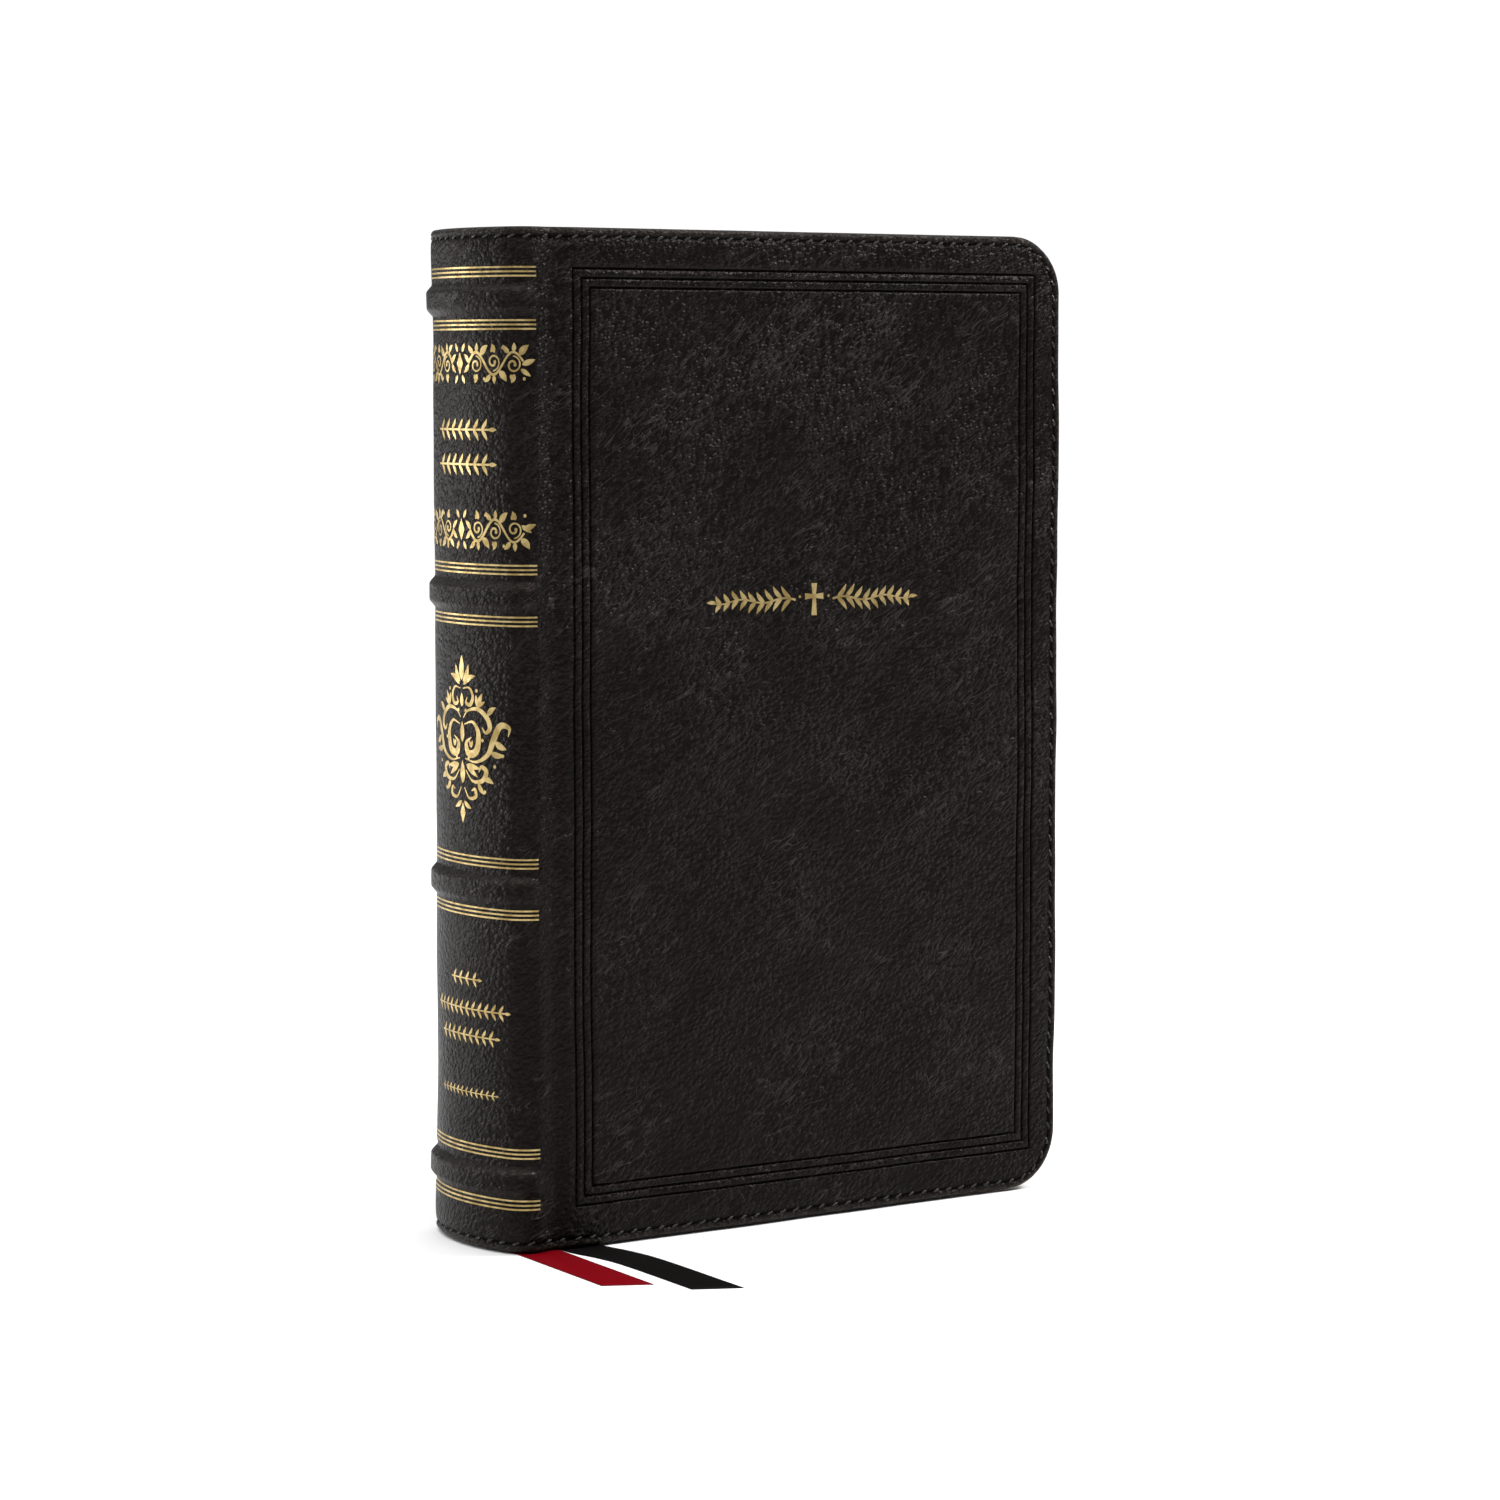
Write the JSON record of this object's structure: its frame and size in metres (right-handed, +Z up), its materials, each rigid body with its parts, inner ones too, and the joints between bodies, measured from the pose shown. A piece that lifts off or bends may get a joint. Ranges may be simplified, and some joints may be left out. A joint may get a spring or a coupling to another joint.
{
  "type": "bible",
  "caption": "Thick upright book in a black leather case with a rounded spine, raised bands, debossed frames, gilded pages and two ribbon markers; both covers open.",
  "frame": {"origin": "on the floor, below the middle of the closed book, with the ribbon markers left out", "axes": "+Z up along the spine, +X from the spine to the fore-edge, -Y out of the front cover"},
  "size_m": [0.1518, 0.0922, 0.2225],
  "materials": {
    "leather": "black bonded leather with a fine pebble grain and a soft sheen",
    "board": "grey pressed paper board",
    "endpaper": "matt black endpaper",
    "thread": "twisted black sewing thread",
    "kraft_paper": "brown kraft paper",
    "gauze": "stiffened open-weave cotton",
    "woven_band": "woven gold and black silk",
    "red_ribbon": "double-faced red satin",
    "black_ribbon": "double-faced black satin",
    "paper": "thin off-white paper with gilded edges",
    "gold_foil": "stamped gold foil"
  },
  "bodies": {
    "text_block": {"spine_leather": "leather", "spine_head_thread": "thread", "spine_tail_thread": "thread", "spine_inlay": "board", "raised_band_1": "board", "raised_band_2": "board", "raised_band_3": "board", "raised_band_4": "board", "spine_liner": "kraft_paper", "spine_gauze": "gauze", "head_band": "woven_band", "tail_band": "woven_band", "sewn_page_margin": "paper", "page_section_5": "paper", "page_section_6": "paper", "page_section_7": "paper", "page_section_8": "paper", "ribbon_red": "red_ribbon", "ribbon_black": "black_ribbon"},
    "front_cover": {"front_cover_leather": "leather", "front_board": "board", "front_pastedown": "endpaper", "front_edge_thread": "thread"},
    "front_flyleaf": {"front_flyleaf": "endpaper"},
    "front_leaf_1": {"front_leaf_1": "paper"},
    "front_leaf_2": {"front_leaf_2": "paper"},
    "page_section_1": {"page_section_1": "paper"},
    "page_section_2": {"page_section_2": "paper"},
    "page_section_3": {"page_section_3": "paper"},
    "page_section_4": {"page_section_4": "paper"},
    "back_cover": {"back_cover_leather": "leather", "back_board": "board", "back_pastedown": "endpaper", "back_edge_thread": "thread"},
    "back_flyleaf": {"back_flyleaf": "endpaper"},
    "back_leaf_1": {"back_leaf_1": "paper"},
    "back_leaf_2": {"back_leaf_2": "paper"},
    "page_section_12": {"page_section_12": "paper"},
    "page_section_11": {"page_section_11": "paper"},
    "page_section_10": {"page_section_10": "paper"},
    "page_section_9": {"page_section_9": "paper"}
  },
  "joints": [
    {"name": "front_cover_hinge", "type": "hinge", "parent": "text_block", "child": "front_cover", "pos_m": [-0.0638, -0.0204, 0], "axis": [0, 0, -1], "range_deg": [0, 178]},
    {"name": "front_flyleaf_turn", "type": "hinge", "parent": "text_block", "child": "front_flyleaf", "pos_m": [-0.0638, -0.0204, 0], "axis": [0, 0, -1], "range_deg": [0, 167.32]},
    {"name": "front_leaf_1_turn", "type": "hinge", "parent": "text_block", "child": "front_leaf_1", "pos_m": [-0.0638, -0.0204, 0], "axis": [0, 0, -1], "range_deg": [0, 153.08]},
    {"name": "front_leaf_2_turn", "type": "hinge", "parent": "text_block", "child": "front_leaf_2", "pos_m": [-0.0638, -0.0204, 0], "axis": [0, 0, -1], "range_deg": [0, 137.06]},
    {"name": "page_section_1_turn", "type": "hinge", "parent": "text_block", "child": "page_section_1", "pos_m": [-0.0638, -0.0204, 0], "axis": [0, 0, -1], "range_deg": [0, 106.8]},
    {"name": "page_section_2_turn", "type": "hinge", "parent": "text_block", "child": "page_section_2", "pos_m": [-0.0638, -0.0204, 0], "axis": [0, 0, -1], "range_deg": [0, 80.1]},
    {"name": "page_section_3_turn", "type": "hinge", "parent": "text_block", "child": "page_section_3", "pos_m": [-0.0638, -0.0204, 0], "axis": [0, 0, -1], "range_deg": [0, 53.4]},
    {"name": "page_section_4_turn", "type": "hinge", "parent": "text_block", "child": "page_section_4", "pos_m": [-0.0638, -0.0204, 0], "axis": [0, 0, -1], "range_deg": [0, 26.7]},
    {"name": "back_cover_hinge", "type": "hinge", "parent": "text_block", "child": "back_cover", "pos_m": [-0.0638, 0.0204, 0], "axis": [0, 0, 1], "range_deg": [0, 178]},
    {"name": "back_flyleaf_turn", "type": "hinge", "parent": "text_block", "child": "back_flyleaf", "pos_m": [-0.0638, 0.0204, 0], "axis": [0, 0, 1], "range_deg": [0, 167.32]},
    {"name": "back_leaf_1_turn", "type": "hinge", "parent": "text_block", "child": "back_leaf_1", "pos_m": [-0.0638, 0.0204, 0], "axis": [0, 0, 1], "range_deg": [0, 153.08]},
    {"name": "back_leaf_2_turn", "type": "hinge", "parent": "text_block", "child": "back_leaf_2", "pos_m": [-0.0638, 0.0204, 0], "axis": [0, 0, 1], "range_deg": [0, 137.06]},
    {"name": "page_section_12_turn", "type": "hinge", "parent": "text_block", "child": "page_section_12", "pos_m": [-0.0638, 0.0204, 0], "axis": [0, 0, 1], "range_deg": [0, 106.8]},
    {"name": "page_section_11_turn", "type": "hinge", "parent": "text_block", "child": "page_section_11", "pos_m": [-0.0638, 0.0204, 0], "axis": [0, 0, 1], "range_deg": [0, 80.1]},
    {"name": "page_section_10_turn", "type": "hinge", "parent": "text_block", "child": "page_section_10", "pos_m": [-0.0638, 0.0204, 0], "axis": [0, 0, 1], "range_deg": [0, 53.4]},
    {"name": "page_section_9_turn", "type": "hinge", "parent": "text_block", "child": "page_section_9", "pos_m": [-0.0638, 0.0204, 0], "axis": [0, 0, 1], "range_deg": [0, 26.7]}
  ],
  "couplings": [
    {"joint": "front_flyleaf_turn", "follows": "front_cover_hinge", "ratio": 0.94},
    {"joint": "front_leaf_1_turn", "follows": "front_cover_hinge", "ratio": 0.86},
    {"joint": "front_leaf_2_turn", "follows": "front_cover_hinge", "ratio": 0.77},
    {"joint": "page_section_1_turn", "follows": "front_cover_hinge", "ratio": 0.6},
    {"joint": "page_section_2_turn", "follows": "front_cover_hinge", "ratio": 0.45},
    {"joint": "page_section_3_turn", "follows": "front_cover_hinge", "ratio": 0.3},
    {"joint": "page_section_4_turn", "follows": "front_cover_hinge", "ratio": 0.15},
    {"joint": "back_flyleaf_turn", "follows": "back_cover_hinge", "ratio": 0.94},
    {"joint": "back_leaf_1_turn", "follows": "back_cover_hinge", "ratio": 0.86},
    {"joint": "back_leaf_2_turn", "follows": "back_cover_hinge", "ratio": 0.77},
    {"joint": "page_section_12_turn", "follows": "back_cover_hinge", "ratio": 0.6},
    {"joint": "page_section_11_turn", "follows": "back_cover_hinge", "ratio": 0.45},
    {"joint": "page_section_10_turn", "follows": "back_cover_hinge", "ratio": 0.3},
    {"joint": "page_section_9_turn", "follows": "back_cover_hinge", "ratio": 0.15}
  ]
}
